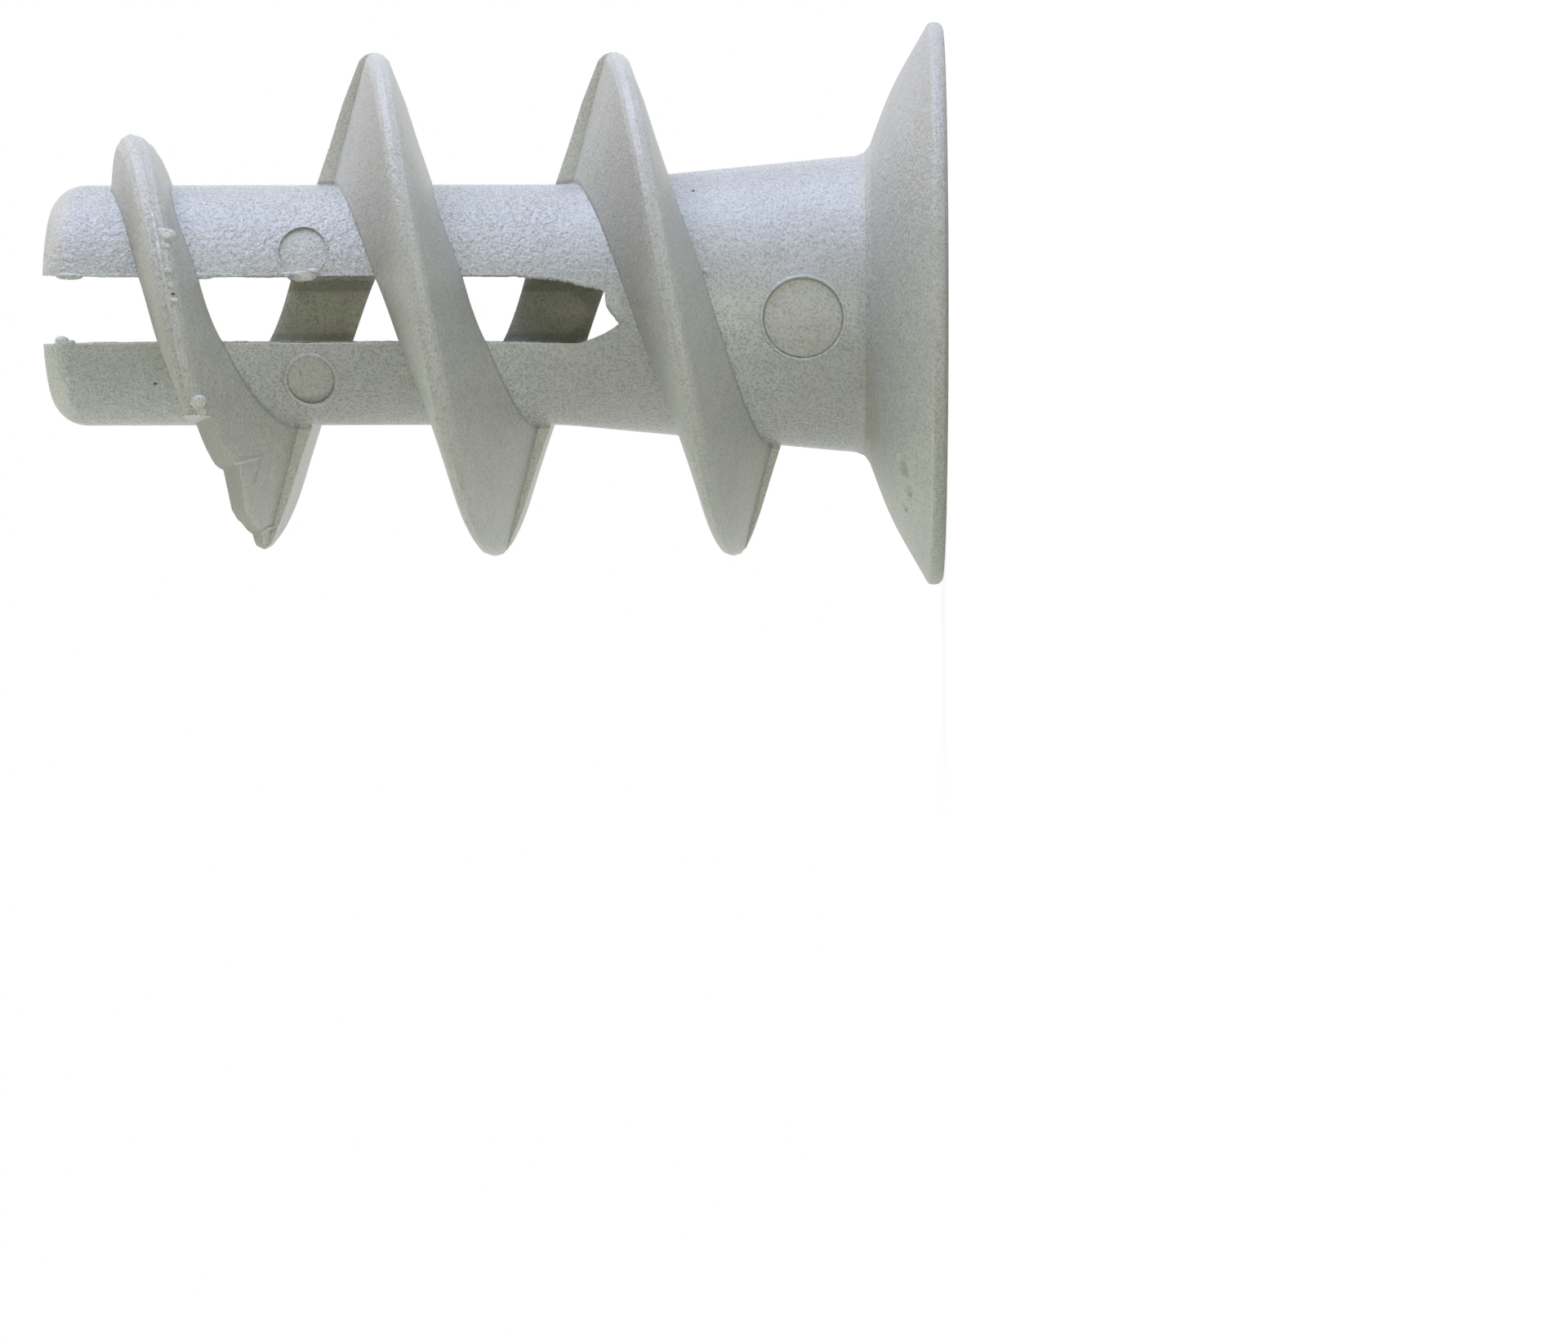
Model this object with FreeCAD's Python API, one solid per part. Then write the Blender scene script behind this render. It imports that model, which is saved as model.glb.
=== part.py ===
"""Self-drilling plasterboard anchor, moulded in one piece of nylon.

The anchor stands on its flange face: the origin is the centre of that face and +Z runs up
the axis to the tips of the two legs.  The slot between the legs opens towards -Y and +Y,
and the mould that made the part opened along Y, so its parting plane is Y = 0.
All sizes are in millimetres and all angles in degrees.
"""
import FreeCAD, Part
import math
import os
from FreeCAD import Vector

# Overall
anchor_length = 22.1

# Flange, which seats flush on the board
flange_diameter = 13.85
flange_rim_thickness = 0.34
flange_root_thickness = 1.88
flange_middle_radius = 5.30
flange_middle_thickness = 1.28
flange_middle_blend = 8.0
flange_face_rounding = 0.17
flange_back_rounding = 0.12
neck_fillet = 0.42

# Collar and legs
collar_diameter = 7.36
collar_length = 9.35
collar_blend = 8.0
leg_diameter = 5.92
leg_tip_rounding = 0.85
leg_tip_drop = 0.24

# Round channel through the middle, and the flat channel between the legs
screw_channel_diameter = 3.5
screw_channel_length = 11.0
screw_channel_tip_diameter = 1.9
screw_mouth_diameter = 4.6
screw_mouth_depth = 0.6
slot_thickness = 1.67
slot_offset = -0.10
slot_breakout = 0.15
slot_edge_radius = 1.50

# Board thread, right-handed: its crest passes over +X at the zero height, one pitch for each turn.
# The flatness is the share by which each half turn but the first lies in a slanted plane instead
# of on a helix.
thread_diameter = 12.4
thread_pitch = 5.89
thread_zero_height = 8.07
thread_flatness = 0.25
thread_flank_angle = 15.0
thread_crest_radius = 0.26
thread_root_sink = 0.05
thread_tip_gap = 2.0
thread_end_height = 3.08

# The back half of the mould sits this much nearer the tips than the front half
mould_mismatch = 0.06

# First turn, which starts low and blunt at the parting plane and grows to the full thread
start_diameter = 8.45
start_growth_angle = 220.0
start_crest_radius = 0.42
start_crest_angle = 120.0
start_advance = 0.20
start_advance_angle = 90.0

# Outlines that the first turn's tip side is trimmed to: half turns after the start, reach behind
# the parting plane, slope forwards, slope inwards, and corners at the parting plane (distance
# inside the full crest, height over the crest)
start_trims = (
    (0, 0.00, -0.05, 0.00, ((3.60, 0.30), (2.60, 0.27), (2.35, 0.21), (2.12, 0.07), (1.50, -0.60))),
    (1, 1.20, 0.23, 0.07, ((3.25, 1.68), (2.85, 1.52), (2.61, 1.38), (2.37, 1.18), (2.19, 0.98),
                           (2.13, 0.87), (1.15, 0.67), (0.91, 0.53), (0.66, 0.22), (0.58, 0.04),
                           (0.30, -0.04), (-0.50, -1.36))),
)

# Last turn, which runs out into the collar above the flange
run_out_turn = 100.0
run_out_depth = 0.5

# Marks that the mould's ejector pins left on the front: sideways place, height, diameter
mark_depth = 0.06
collar_mark = (-0.33, 3.43, 1.94)
leg_marks = ((1.31, 15.56, 1.16), (-1.82, 15.41, 1.16))

# Roundings smaller than this are worked out as narrow cones that each turn by up to the angle
small_rounding = 0.5
small_rounding_step = 40.0

# How finely the thread is worked out
station_count = 13
flank_strip_count = 3
crest_strip_count = 2
search_count = 40
search_round_count = 3

HALF_TURN = 180.0
ROOM = 1.0

# The thread starts at the last pass of the parting plane that leaves the gap to the tips
start_halves = math.floor((anchor_length - thread_tip_gap - thread_zero_height) / (thread_pitch / 2))
start_angle = HALF_TURN * start_halves
end_angle = 360 * (thread_end_height - thread_zero_height) / thread_pitch


def along(radius, height):
    """A point of the outline, in the plane Y = 0."""
    return Vector(radius, 0, height)


def rounded_outline(corners):
    """A closed wire through corners of (point, rounding radius), rounded where the radius isn't 0."""
    count = len(corners)
    roundings = []
    for i, (corner, radius) in enumerate(corners):
        before = (corners[i - 1][0] - corner).normalize()
        after = (corners[(i + 1) % count][0] - corner).normalize()
        half_angle = before.getAngle(after) / 2
        if radius == 0 or half_angle > math.radians(89.99):
            roundings.append([corner])
            continue
        centre = corner + (before + after).normalize() * (radius / math.sin(half_angle))
        turn = math.pi - 2 * half_angle
        strips = 2
        if radius < small_rounding:
            strips = math.ceil(math.degrees(turn) / small_rounding_step)
        first = corner + before * (radius / math.tan(half_angle)) - centre
        last = corner + after * (radius / math.tan(half_angle)) - centre
        points = []
        for step in range(strips + 1):
            share = turn * step / strips
            between = first * math.sin(turn - share) + last * math.sin(share)
            points.append(centre + between * (1 / math.sin(turn)))
        roundings.append(points)
    edges = []
    for i, points in enumerate(roundings):
        if corners[i][1] >= small_rounding and len(points) > 1:
            edges.append(Part.Arc(*points).toShape())
            points = points[-1:]
        points = points + [roundings[(i + 1) % count][0]]
        for point, following in zip(points, points[1:]):
            if point.distanceToPoint(following) > 1e-6:
                edges.append(Part.LineSegment(point, following).toShape())
    return Part.Wire(edges)


def outline_corners(sunk=0.0):
    """Half of the anchor's lengthwise section without thread or channels, drawn in by sunk."""
    flange_radius = flange_diameter / 2
    collar_radius = collar_diameter / 2 - sunk
    leg_radius = leg_diameter / 2 - sunk
    middle = along(flange_middle_radius, flange_middle_thickness)
    return [
        (along(0, 0), 0),
        (along(flange_radius, 0), flange_face_rounding),
        (along(flange_radius, flange_rim_thickness), flange_back_rounding),
        (middle, flange_middle_blend),
        (along(collar_radius, flange_root_thickness), neck_fillet),
        (along(leg_radius, collar_length), collar_blend),
        (along(leg_radius, anchor_length - leg_tip_drop), leg_tip_rounding),
        (along(screw_channel_tip_diameter / 2, anchor_length), 0),
        (along(0, anchor_length), 0),
    ]


def turned_blank(sunk=0.0):
    """Flange, collar and the round bar that the legs are made of, turned round the axis."""
    section = Part.Face(rounded_outline(outline_corners(sunk)))
    return section.revolve(Vector(0, 0, 0), Vector(0, 0, 1), 360)


def blank_radius(height):
    """Radius of the collar or the legs at a height."""
    leg_radius = leg_diameter / 2
    if height >= collar_length:
        return leg_radius
    share = (collar_length - height) / (collar_length - flange_root_thickness)
    return leg_radius + (collar_diameter / 2 - leg_radius) * share


def crest_height(angle):
    """Height of the crest at an angle round the axis: one pitch a turn, and a little more at the start."""
    share = (angle - (start_angle - HALF_TURN)) / start_advance_angle
    share = min(1.0, max(0.0, share))
    ahead = start_advance * (1 - math.cos(math.pi * share)) / 2
    halves = angle / HALF_TURN
    turned = halves - math.floor(halves)
    if halves < start_halves - 1:
        halves += thread_flatness * ((1 - math.cos(math.pi * turned)) / 2 - turned)
    return thread_zero_height + thread_pitch / 2 * halves + ahead


def crest_radius(angle):
    """Radius of the thread's crest: it grows over the first turn and sinks in the last."""
    full = thread_diameter / 2
    ahead = angle - end_angle
    if ahead < run_out_turn:
        sunk = blank_radius(crest_height(angle)) - run_out_depth
        return sunk + (full - sunk) * (1 - math.cos(math.pi * max(0.0, ahead) / run_out_turn)) / 2
    turned = min(start_growth_angle, start_angle - angle)
    growth = (1 - math.cos(math.pi * turned / start_growth_angle)) / 2
    return start_diameter / 2 + (full - start_diameter / 2) * growth


def crest_rounding(angle):
    """Rounding of the crest, which is blunter where the thread starts."""
    share = min(1.0, (start_angle - angle) / start_crest_angle)
    return start_crest_radius + (thread_crest_radius - start_crest_radius) * share


def half_thickness(radius, angle):
    """Half the thread's thickness along the axis at a radius, for straight flanks and a round crest."""
    flank = math.radians(thread_flank_angle)
    rounding = crest_rounding(angle)
    centre = crest_radius(angle) - rounding
    if radius < centre + rounding * math.sin(flank):
        return rounding / math.cos(flank) + (centre - radius) * math.tan(flank)
    return math.sqrt(max(0.0, rounding ** 2 - (radius - centre) ** 2))


def section_stations(angle, side):
    """(radius, half thickness) from root to crest, on the side towards the tip (1) or the flange (-1)."""
    flank = math.radians(thread_flank_angle)
    rounding = crest_rounding(angle)
    crest = crest_radius(angle)
    root = blank_radius(crest_height(angle))
    for _ in range(3):
        root = blank_radius(crest_height(angle) + side * half_thickness(root, angle))
    flank_start = min(root, crest - 1.5 * rounding) - thread_root_sink
    flank_end = crest - rounding + rounding * math.sin(flank)
    stations = []
    for step in range(flank_strip_count):
        radius = flank_start + (flank_end - flank_start) * step / flank_strip_count
        stations.append((radius, half_thickness(radius, angle)))
    for step in range(crest_strip_count + 1):
        turn = flank + (math.pi / 2 - flank) * step / crest_strip_count
        stations.append((crest - rounding + rounding * math.sin(turn), rounding * math.cos(turn)))
    return stations


def pulled_height(angle, radius, thickness, side, first_angle):
    """Height of a flank point once the mould half can be pulled straight off along Y.

    Whatever lies nearer the mould's face at the same sideways place hides the point, so it
    moves out to the highest (side 1) or lowest (side -1) of the flank between it and there.
    """
    sideways = radius * math.cos(math.radians(angle - first_angle))
    start = radius * math.sin(math.radians(angle - first_angle))
    end = math.sqrt(max(start ** 2, (thread_diameter / 2) ** 2 - sideways ** 2))
    best = crest_height(angle) + side * thickness
    low = start
    high = end
    for _ in range(search_round_count):
        width = (high - low) / search_count
        best_depth = low
        for step in range(search_count + 1):
            depth = low + width * step
            there = first_angle + math.degrees(math.atan2(depth, sideways))
            distance = math.hypot(sideways, depth)
            if distance > crest_radius(there):
                continue
            height = crest_height(there) + side * half_thickness(distance, there)
            if side * height > side * best:
                best = height
                best_depth = depth
        low = max(start, best_depth - width)
        high = min(end, best_depth + width)
    return best


def thread_section(angle, first_angle):
    """Points across the thread at one angle, from the flange side's root over the crest to the other root."""
    across = Vector(math.cos(math.radians(angle)), math.sin(math.radians(angle)), 0)
    raised = mould_mismatch if round(first_angle / HALF_TURN) % 2 == 0 else 0.0
    halves = []
    for side in (-1, 1):
        points = []
        for radius, thickness in section_stations(angle, side):
            height = pulled_height(angle, radius, thickness, side, first_angle)
            points.append(across * radius + Vector(0, 0, height + raised))
        halves.append(points)
    below, above = halves
    return below + above[-2::-1]


def thread_piece(first_angle, begin, end):
    """The stretch of thread that one mould half made: strips between rails that wind from begin to end."""
    last = station_count - 1
    sections = []
    for step in range(last + 1):
        sections.append(thread_section(begin + (end - begin) * step / last, first_angle))
    rails = []
    for rail_points in zip(*sections):
        curve = Part.BSplineCurve()
        curve.interpolate(list(rail_points))
        rails.append(curve.toShape())
    faces = [Part.makeRuledSurface(rails[-1], rails[0])]
    for rail, following in zip(rails, rails[1:]):
        faces.append(Part.makeRuledSurface(rail, following))
    for section in (sections[0], sections[-1]):
        faces.append(Part.Face(Part.makePolygon(section + section[:1])))
    shell = Part.makeShell(faces)
    shell.sewShape()
    solid = Part.makeSolid(shell)
    if solid.Volume < 0:
        solid.reverse()
    return solid


def thread_pieces():
    """The whole thread, one piece for each half turn between two passes of the parting plane."""
    pieces = []
    first_angle = start_angle - HALF_TURN
    while first_angle + HALF_TURN > end_angle:
        pieces.append(thread_piece(first_angle, max(first_angle, end_angle), first_angle + HALF_TURN))
        first_angle -= HALF_TURN
    return pieces


def trimmed_steps():
    """Blocks that take the slanted steps off the tip side of the first turn."""
    full = thread_diameter / 2
    front = full + ROOM
    blocks = []
    for halves, behind, slope_forward, slope_inward, outline in start_trims:
        crest_angle = start_angle - halves * HALF_TURN
        outwards = math.copysign(1, math.cos(math.radians(crest_angle)))
        forwards = Vector(-outwards * slope_inward, -1, -slope_forward)
        over = ((outline[-1][0], thread_pitch / 2), (outline[0][0], thread_pitch / 2))
        corners = []
        for inside, height in outline + over:
            corner = Vector(outwards * (full - inside), 0, crest_height(crest_angle) + height)
            corners.append(corner - forwards * behind)
        base = Part.Face(Part.makePolygon(corners + corners[:1]))
        blocks.append(base.extrude(forwards * (front + behind)))
    return blocks


def screw_channel():
    """The round channel: a coned mouth, a straight bore through the collar and a taper to the tips."""
    radius = screw_channel_diameter / 2
    corners = [
        (along(0, -ROOM), 0),
        (along(screw_mouth_diameter / 2, -ROOM), 0),
        (along(screw_mouth_diameter / 2, 0), 0),
        (along(radius, screw_mouth_depth), 0),
        (along(radius, screw_channel_length), 0),
        (along(screw_channel_tip_diameter / 2, anchor_length), 0),
        (along(0, anchor_length), 0),
    ]
    return Part.Face(rounded_outline(corners)).revolve(Vector(0, 0, 0), Vector(0, 0, 1), 360)


def drive_slot():
    """The flat channel with rounded edges that runs from the flange face out through the tips."""
    edge = leg_diameter / 2 + slot_breakout
    side = slot_thickness / 2
    corner = edge - slot_edge_radius + math.sqrt(slot_edge_radius ** 2 - side ** 2)
    lines = [
        Part.Arc(Vector(-side, -corner, 0), Vector(0, -edge, 0), Vector(side, -corner, 0)),
        Part.LineSegment(Vector(side, -corner, 0), Vector(side, corner, 0)),
        Part.Arc(Vector(side, corner, 0), Vector(0, edge, 0), Vector(-side, corner, 0)),
        Part.LineSegment(Vector(-side, corner, 0), Vector(-side, -corner, 0)),
    ]
    outline = Part.Wire([line.toShape() for line in lines])
    outline.translate(Vector(slot_offset, 0, -ROOM))
    return Part.Face(outline).extrude(Vector(0, 0, anchor_length + 2 * ROOM))


def pin_marks():
    """Shallow round recesses in the front of the collar and the legs."""
    core = turned_blank(mark_depth)
    marks = []
    for sideways, height, diameter in (collar_mark,) + leg_marks:
        reach = blank_radius(height - diameter / 2) + mark_depth
        pin = Part.makeCylinder(diameter / 2, reach, Vector(sideways, 0, height), Vector(0, -1, 0))
        marks.append(pin.cut(core))
    return marks


def build_anchor():
    """The finished anchor as one solid."""
    thread = [piece.cut(trimmed_steps()) for piece in thread_pieces()]
    body = turned_blank().fuse(thread)
    return body.cut([screw_channel(), drive_slot()] + pin_marks())


def main():
    os.makedirs("parts", exist_ok=True)
    anchor = build_anchor()
    anchor.exportStep("parts/anchor_body.step")
    print("solids", len(anchor.Solids), "valid", anchor.isValid(), "volume", round(anchor.Volume, 3))


main()
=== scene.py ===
"""Look of the moulded nylon plasterboard anchor: its grained skin, its flash and marks, and a studio.

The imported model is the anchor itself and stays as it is.  The pieces added here are the small
things a mould leaves behind: lips along the slot, flash at the slot's end, burrs round the pin
marks, lumps and beads on the first turn's crest, specks.  Each is a closed surface worked out on
a grid of two parameters.  The anchor stands on its flange, tips up, and its front is at -Y.
Lengths are in millimetres until a mesh is made, which is in metres, as lamps and camera are.
"""
import math

import bpy
import numpy as np
from bpy.props import FloatProperty, FloatVectorProperty, PointerProperty
from bpy.types import Operator, Panel, PropertyGroup
from mathutils import Matrix, Vector


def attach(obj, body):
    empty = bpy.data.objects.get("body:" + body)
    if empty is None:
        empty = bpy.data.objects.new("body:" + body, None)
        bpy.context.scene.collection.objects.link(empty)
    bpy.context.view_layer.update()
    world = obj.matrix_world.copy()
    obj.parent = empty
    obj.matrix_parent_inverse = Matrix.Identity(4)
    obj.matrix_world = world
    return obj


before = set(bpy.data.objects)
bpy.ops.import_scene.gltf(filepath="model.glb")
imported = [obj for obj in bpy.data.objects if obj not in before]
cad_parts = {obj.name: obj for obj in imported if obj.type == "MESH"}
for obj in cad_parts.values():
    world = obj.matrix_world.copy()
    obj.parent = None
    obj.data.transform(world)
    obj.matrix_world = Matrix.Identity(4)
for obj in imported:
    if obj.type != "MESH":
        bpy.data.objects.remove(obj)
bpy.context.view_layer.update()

bl_info = {
    "name": "Nylon anchor finish",
    "version": (1, 0, 0),
    "blender": (4, 5, 0),
    "location": "View3D > Sidebar > Anchor",
    "description": "Finish, flash, marks and studio for a moulded nylon plasterboard anchor",
    "category": "Object",
}

MM = 0.001
BODY = "anchor_body"
UPWARDS = (0, 0, 1)

# Sizes of the anchor that the added pieces and the nylon follow.
LEG_RADIUS = 2.96
LEG_SHOULDER = 9.35
COLLAR_RADIUS = 3.68
COLLAR_FOOT = 1.88
SLOT_LEFT = -0.935
SLOT_RIGHT = 0.735
THREAD_PITCH = 5.89
CREST_START_RADIUS = 4.225
CREST_FULL_RADIUS = 6.2
CREST_GROWTH = 220
CREST_TWO_TURNS_ON = 8.07
CREST_START_LIFT = 0.10
LEAST_DEPTH_SQUARED = 0.01

# Lips along the slot: side, front (-1) or back (1), from height, to height, share of size, seed.
SLOT_LIPS = (
    (SLOT_RIGHT, -1, 18.9, 21.6, 1.0, 0.3),
    (SLOT_RIGHT, -1, 16.9, 18.6, 1.2, 1.7),
    (SLOT_RIGHT, -1, 10.3, 15.2, 0.8, 2.2),
    (SLOT_LEFT, -1, 19.0, 21.6, 0.9, 3.1),
    (SLOT_LEFT, -1, 9.3, 17.5, 0.9, 4.5),
    (SLOT_RIGHT, 1, 9.3, 21.5, 0.9, 5.2),
    (SLOT_LEFT, 1, 9.3, 21.5, 0.9, 0.9),
)
LIP_POINTS_PER_MM = 24
LIP_SINK = -0.012
LIP_LEAN = 0.35
# Lumps on the slot's front edges: sideways place, height, size along, across and outwards, seed.
SLOT_LUMPS = (
    (0.70, 15.55, 0.33, 0.145, 0.11, 1.0),
    (0.74, 15.88, 0.20, 0.08, 0.09, 2.0),
    (0.80, 15.30, 0.20, 0.10, 0.09, 2.6),
    (-0.86, 21.40, 0.17, 0.125, 0.10, 3.0),
    (-0.90, 21.18, 0.10, 0.07, 0.08, 4.0),
    (0.71, 21.20, 0.30, 0.095, 0.09, 5.0),
    (0.72, 18.03, 0.34, 0.085, 0.08, 6.0),
    (0.74, 17.62, 0.14, 0.06, 0.07, 6.5),
)
LUMP_SINK = -0.03
LUMP_LEAN = -0.2
POLE_GAP = 0.05
# Free edge of the flash at the slot's end: height, sideways place.
SHEET_EDGE = (
    (7.70, -0.50), (7.76, -0.52), (7.83, -0.46), (7.95, -0.32), (8.08, -0.15), (8.17, -0.02),
    (8.21, 0.10), (8.23, 0.36), (8.25, 0.43), (8.31, 0.455), (8.40, 0.43), (8.50, 0.44),
    (8.62, 0.47), (8.75, 0.485), (8.90, 0.53), (9.05, 0.575), (9.25, 0.62), (9.60, 0.665),
    (10.10, 0.70), (10.45, 0.76),
)
SHEET_HOLD = 0.10
SHEET_PROUD = 0.008
# The sheet's rounded free edge, in shares of its thickness: how deep, how far out.
SHEET_RIM = ((0.2, 0.32), (0.5, 0.40), (0.8, 0.32))
# Pin marks: sideways place, height, radius; then how dark the painted shade of each ring is, and its burr's
# share of size.
PIN_MARKS = ((-0.33, 3.43, 0.97), (1.31, 15.56, 0.58), (-1.82, 15.41, 0.58))
PIN_SHADES = (0.50, 0.10, 0.08)
BURR_SHARES = (1.5, 0.9, 1.8)
BURR_OUT = 0.9
# Lips on the first turn's crest: from and to degrees turned, width, height, seed.
CREST_LIPS = (
    (60, 86, 0.060, 0.045, 0.5),
    (83, 114, 0.030, 0.050, 2.5),
    (20, 60, 0.030, 0.022, 4.0),
)
CREST_SINK = -0.006
CREST_POINTS = 140
# Folds under the first turn's ledges: places that each runs through, width, height, seed.
FOLDS = (
    (
        ((-3.83, -3.05, 17.21), (-3.80, -2.70, 17.08), (-3.753, -2.305, 16.926), (-3.69, -1.62, 16.65)),
        0.05, 0.055, 1.0,
    ),
    (((-3.69, -1.62, 16.65), (-4.007, -1.754, 16.739), (-4.403, -1.86, 16.832)), 0.03, 0.028, 2.0),
    (((-5.60, -0.95, 16.80), (-5.507, -0.613, 16.691), (-5.47, -0.02, 16.49)), 0.045, 0.05, 3.0),
)
FOLD_STANDS = (-0.08, -0.35, -0.93)
FOLD_POINTS = 60
# Beads: place, size along, across and outwards, seed.
BEADS = (
    ((1.703, -4.245, 18.77), 0.28, 0.16, 0.09, 1.0),
    ((1.42, -4.40, 18.76), 0.17, 0.08, 0.07, 1.6),
    ((0.822, -4.69, 18.64), 0.13, 0.09, 0.08, 2.0),
    ((0.47, -4.79, 18.55), 0.08, 0.07, 0.06, 3.0),
    ((0.119, -4.861, 18.47), 0.10, 0.06, 0.07, 3.5),
    ((-2.30, -4.68, 17.94), 0.20, 0.20, 0.17, 4.0),
    ((-2.52, -4.60, 17.88), 0.13, 0.15, 0.12, 5.0),
    ((0.804, -3.215, 5.762), 0.09, 0.075, 0.07, 6.0),
    ((0.70, -3.235, 5.70), 0.05, 0.05, 0.05, 6.4),
)
# Specks: sideways place and height on the skin, and the place of one on the crest.
SKIN_SPECKS = ((2.76, 6.10), (-1.9, 19.2), (2.2, 13.1))
CREST_SPECK = (0.275, -4.835, 18.48)
SPECK_SIZE = (0.040, 0.032, 0.016)
# Dents low on the flange: middle, reach.
DENTS = (((-3.87, -4.17, 1.05), 0.36), ((-4.45, -3.90, 0.91), 0.26), ((-4.89, -3.17, 0.97), 0.18))

# Sums of sines: strength, rate, share of the seed.  Rates are to the millimetre, or once round.
LIP_WAVES = ((0.40, 2.1, 1), (0.30, 5.3, 2), (0.20, 11.7, -1), (0.15, 23.0, 3))
BURR_WAVES = ((0.35, 2, 1), (0.25, 5, 2), (0.15, 13, -1))
SHEET_WAVES = ((0.008, 23, 0), (0.006, 51, 1))
WIDTH_WAVE_SHARE = 0.3
WIDTH_WAVE_LAG = 7

# Where the nylon changes.  A pair is a band: the mark grows from nothing at its first number to
# all at its second.
SKIN_REACH = 0.03
SKIN_EASE = 0.05
SKIN_UP_FROM = (1.6, 2.4)
LEG_UP_FROM = (8.6, 9.8)
# The full thread's crest, which gets a painted highlight and less roughness: heights, then radii.
CREST_SHEEN_UP_FROM = (1.5, 2.0)
CREST_SHEEN_OUT_FROM = (5.85, 6.12)
SLOT_WALL = 0.012
SLOT_DEPTH = -0.10
CHANNEL_RADIUS = 1.8
CHANNEL_TOP = 21.6
FLANGE_FACE = 0.02
# The first turn's tip side, which gets painted shade and more roughness.
TIP_SIDE_HEIGHTS = (16.1, 20.8)
TIP_SIDE_EASE = 0.2
TIP_SIDE_OUT_FROM = (2.98, 3.04)
TIP_SIDE_ALONG = (3.0, -0.8)
TRIMMED_FROM = (-2.5, -2.8)
TRIMMED_FACING = (0.15, 0.35)
FLANK_FACING = (0.70, 0.90)
DENT_MIDDLE = 0.2
# The pin marks' edges, which get painted shade.
RING_BAND = (-0.03, -0.01)
RING_EASE = 0.03
RING_LIFT = 0.05
IN_FRONT_OF = -1.5
# The thread's foot, which gets painted shade.
ROOT_HEIGHTS = (0.04, 0.09)
ROOT_EASE = 0.025
ROOT_UP_FROM = (2.6, 3.0)

# Shares and strengths of the nylon's colours; a strength above one is lighter, below one darker.
NOISE_MIDDLE = 0.5
GRAIN_BAND = (-1.5, 0.5)
DULL_BAND = (0.42, 0.68)
CLOUD_BAND = (0.35, 0.70)
CLOUD_GRAINS = 0.33
CLOUD_SHARE = 0.22
# Painted light on the walls of slot and channel: how much of it shows.
INSIDE_SHARE = 0.9
# Painted highlight along the full thread's crest.
CREST_HIGHLIGHT_SHARE = 0.18
CREST_HIGHLIGHT_STRENGTH = 1.08
DENT_SHARE = 0.38
DENT_STRENGTH = 0.75
# Painted shade at the pin marks' edges.
RING_SHADE_STRENGTH = 0.45
# Painted shade along the thread's root.
ROOT_SHADE_STRENGTH = 0.55
ROOT_SHADE = 0.42
# Painted highlight: the slot's lips and lumps and the pin marks' burrs are made lighter.
LIP_PAINTED_HIGHLIGHT = 1.20
BURR_PAINTED_HIGHLIGHT = 1.18
BEAD_BRIGHTNESS = 1.22

# Relief in millimetres, and how much rougher or smoother each region is.
ERODED_BAND = (0.34, 0.66)
ERODED_ON_COLLAR = 0.40
ERODED_MORE_ON_LEG = 0.60
SKIN_FINE_LOSS = -0.30
BLOTCH_RELIEF = 0.012
DENT_RELIEF = -0.06
GRAIN_ROUGHNESS = 0.20
CREST_ROUGHNESS = -0.06
SKIN_ROUGHNESS = -0.14
TIP_SIDE_ROUGHNESS = 0.35
NYLON_IOR = 1.53
SCATTER_TINT = (1.0, 0.97, 0.80)
SCATTER_DEPTH = 0.5

# The grit caught in the nylon.
GRIT_GRAINS = 40.0
GRIT_BAND = (0.4, 0.7)
GRIT_DARK = (0.05, 0.04, 0.03, 1)
GRIT_PALE = (0.16, 0.11, 0.07, 1)
GRIT_RELIEF = 0.01
GRIT_ROUGHNESS = 0.7

# Lamps: name, power, place, size, colour.
LAMPS = (
    ("key_light", 0.94, (0.295, -0.052, 0.05), 0.36, (0.68, 0.70, 1.0)),
    ("top_light", 0.345, (0.30, 0.02, 0.06), 0.24, (0.56, 0.70, 1.0)),
    ("back_light", 0.308, (0.18, 0.08, 0.24), 0.24, (1.0, 0.91, 0.79)),
    ("front_light", 0.29, (-0.02, -0.36, 0.05), 0.16, (0.98, 1.0, 0.78)),
    ("fill_light", 0.035, (-0.29, 0.05, 0.06), 0.20, (1.0, 0.85, 0.90)),
    ("low_light", 0.365, (-0.18, 0.07, 0.24), 0.20, (0.91, 1.0, 0.88)),
)
ANCHOR_MIDDLE = Vector((0, 0, 0.011))
CAMERA_TURN = -3.4466
CAMERA_LEAN = -0.2235
CAMERA_ROLL = -0.1004
CAMERA_SIDEWAYS = -0.008998
CAMERA_HEIGHT = 0.003918
CAMERA_REACH = (0.01, 5)
SENSOR_WIDTH = 36
SURROUND_COLOUR = (1.0, 1.0, 0.98, 1)
WHITE = (1, 1, 1, 1)
FLOOR_RINGS = (1.0, 30.0, 120.0, 400.0)
FLOOR_CORNERS = 96
FLOOR_TOP = -0.01
FLOOR_BOTTOM = -1.0
FLOOR_GREY = (0.80, 0.80, 0.80, 1)
# The floor's own light: over this band, in metres from the axis, it grows from the share near the
# anchor by the rest.
GLOW_BAND = (0.03, 0.15)
GLOW_NEAR = 0.62
GLOW_REST = 0.38

# How nodes are laid out in the editor.
NODE_COLUMNS = 12
NODE_WIDTH = 180
NODE_HEIGHT = -260


# ---------------------------------------------------------------- where the anchor's surfaces lie


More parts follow.
